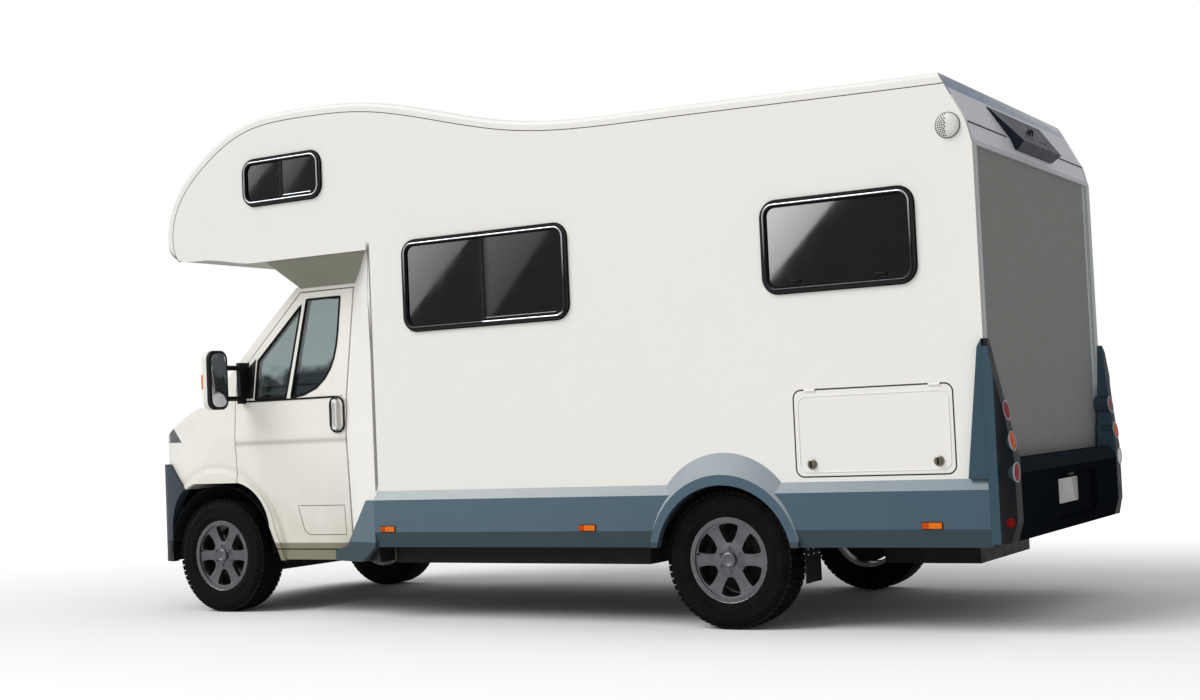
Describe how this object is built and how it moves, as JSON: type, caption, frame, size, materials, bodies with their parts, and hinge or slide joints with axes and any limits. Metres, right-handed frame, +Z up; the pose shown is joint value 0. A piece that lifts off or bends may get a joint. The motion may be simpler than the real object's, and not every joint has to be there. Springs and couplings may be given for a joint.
{
  "type": "motorhome",
  "caption": "Coachbuilt motorhome with an alcove bed nose over a van cab, side skirts, a rear bumper with lamp pillars, and opening doors, bonnet and locker.",
  "frame": {"origin": "middle of the bounding box at ground level", "axes": "+X forward, +Y to the vehicle's left, +Z up"},
  "size_m": [6.118, 2.62, 3.2119],
  "materials": {
    "white_body": "gloss",
    "cab_paint": "gloss",
    "rear_grey": "satin",
    "cap_grey": "satin",
    "skirt_blue": "satin",
    "dark_plastic": "matt",
    "glass": "gloss",
    "tinted_pane": "gloss",
    "tyre": "matt",
    "alloy": "satin",
    "steel": "matt",
    "iron": "matt",
    "lens": "gloss",
    "clear_lens": "gloss",
    "seat_cloth": "matt",
    "floor_board": "matt",
    "rubber_flap": "matt"
  },
  "bodies": {
    "coach": {"side_wall_left": "white_body", "side_wall_right": "white_body", "roof_shell": "white_body", "rear_cap": "cap_grey", "alcove_floor": "white_body", "rear_wall": "rear_grey", "floor_panel": "floor_board", "window_frames": "dark_plastic", "window_panes": "tinted_pane", "cab_shell": "cab_paint", "windscreen": "glass", "front_bumper": "skirt_blue", "front_grille": "dark_plastic", "headlamps": "clear_lens", "engine_block": "iron", "dashboard": "dark_plastic", "steering_wheel": "dark_plastic", "cab_seats": "seat_cloth", "cab_fairings": "white_body", "chassis_frame": "steel", "rear_axle": "iron", "front_axle": "iron", "water_tanks": "dark_plastic", "mud_flaps": "rubber_flap", "skirts": "skirt_blue", "rear_bumper": "dark_plastic", "tail_pillars": "dark_plastic", "lamps": "lens", "camera_housing": "dark_plastic", "heater_cowl": "white_body", "roof_hatches": "white_body"},
    "bonnet": {"bonnet": "cab_paint"},
    "cab_door_left": {"cab_door_left": "cab_paint", "cab_glass_left": "glass", "mirror_left": "dark_plastic"},
    "cab_door_right": {"cab_door_right": "cab_paint", "cab_glass_right": "glass", "mirror_right": "dark_plastic"},
    "entry_door": {"entry_door": "white_body", "entry_window": "tinted_pane"},
    "locker_door": {"locker_door": "white_body"},
    "knuckle_left": {"knuckle_left": "iron"},
    "knuckle_right": {"knuckle_right": "iron"},
    "wheel_front_left": {"tyre_front_left": "tyre", "rim_front_left": "alloy"},
    "wheel_front_right": {"tyre_front_right": "tyre", "rim_front_right": "alloy"},
    "wheel_rear_left": {"tyre_rear_left": "tyre", "rim_rear_left": "alloy"},
    "wheel_rear_right": {"tyre_rear_right": "tyre", "rim_rear_right": "alloy"}
  },
  "joints": [
    {"name": "steer_left", "type": "hinge", "parent": "coach", "child": "knuckle_left", "pos_m": [2.34, 0.77, 0.372], "axis": [0, 0, 1], "range_deg": [-35, 35]},
    {"name": "spin_front_left", "type": "hinge", "parent": "knuckle_left", "child": "wheel_front_left", "pos_m": [2.34, 0.845, 0.372], "axis": [0, 1, 0], "continuous": true},
    {"name": "spin_rear_left", "type": "hinge", "parent": "coach", "child": "wheel_rear_left", "pos_m": [-1.48, 0.982, 0.372], "axis": [0, 1, 0], "continuous": true},
    {"name": "cab_door_left_hinge", "type": "hinge", "parent": "coach", "child": "cab_door_left", "pos_m": [2.14, 0.99, 1.2], "axis": [0, 0, -1], "range_deg": [0, 65]},
    {"name": "steer_right", "type": "hinge", "parent": "coach", "child": "knuckle_right", "pos_m": [2.34, -0.77, 0.372], "axis": [0, 0, 1], "range_deg": [-35, 35]},
    {"name": "spin_front_right", "type": "hinge", "parent": "knuckle_right", "child": "wheel_front_right", "pos_m": [2.34, -0.845, 0.372], "axis": [0, 1, 0], "continuous": true},
    {"name": "spin_rear_right", "type": "hinge", "parent": "coach", "child": "wheel_rear_right", "pos_m": [-1.48, -0.982, 0.372], "axis": [0, 1, 0], "continuous": true},
    {"name": "cab_door_right_hinge", "type": "hinge", "parent": "coach", "child": "cab_door_right", "pos_m": [2.14, -0.99, 1.2], "axis": [0, 0, 1], "range_deg": [0, 65]},
    {"name": "bonnet_hinge", "type": "hinge", "parent": "coach", "child": "bonnet", "pos_m": [2.39, 0, 1.372], "axis": [0, -1, 0], "range_deg": [0, 50]},
    {"name": "entry_door_hinge", "type": "hinge", "parent": "coach", "child": "entry_door", "pos_m": [-0.26, -1.1, 1.5], "axis": [0, 0, 1], "range_deg": [0, 90]},
    {"name": "locker_door_hinge", "type": "hinge", "parent": "coach", "child": "locker_door", "pos_m": [-2.347, 1.1, 1.257], "axis": [1, 0, 0], "range_deg": [0, 100]}
  ],
  "couplings": [
    {"joint": "steer_right", "follows": "steer_left", "ratio": 1}
  ]
}
